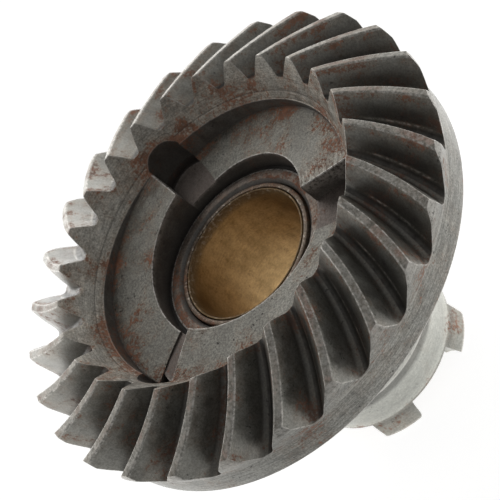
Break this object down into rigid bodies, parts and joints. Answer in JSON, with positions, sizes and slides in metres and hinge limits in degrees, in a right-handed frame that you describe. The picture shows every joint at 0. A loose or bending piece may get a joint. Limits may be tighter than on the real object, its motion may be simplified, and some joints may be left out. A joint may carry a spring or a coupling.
{
  "type": "spiral bevel gear",
  "caption": "Spiral bevel gear with ratchet drive ramps inside its toothed face, a long bearing hub with end lugs, and a pressed steel-backed bronze bushing.",
  "frame": {"origin": "on the bore's axis, in the plane of the rear lugs' end faces", "axes": "+Z along the bore out of the toothed front, +X along the high edge of one drive ramp"},
  "size_m": [0.102, 0.102, 0.0653],
  "materials": {
    "gear_steel": "worn case-hardened steel, light rust",
    "bushing_steel": "machined steel with a rust film",
    "bronze": "satin bearing bronze"
  },
  "bodies": {
    "root": {"gear_body": "gear_steel", "bushing_steel_backing": "bushing_steel", "bushing_bronze_lining": "bronze"}
  },
  "joints": []
}
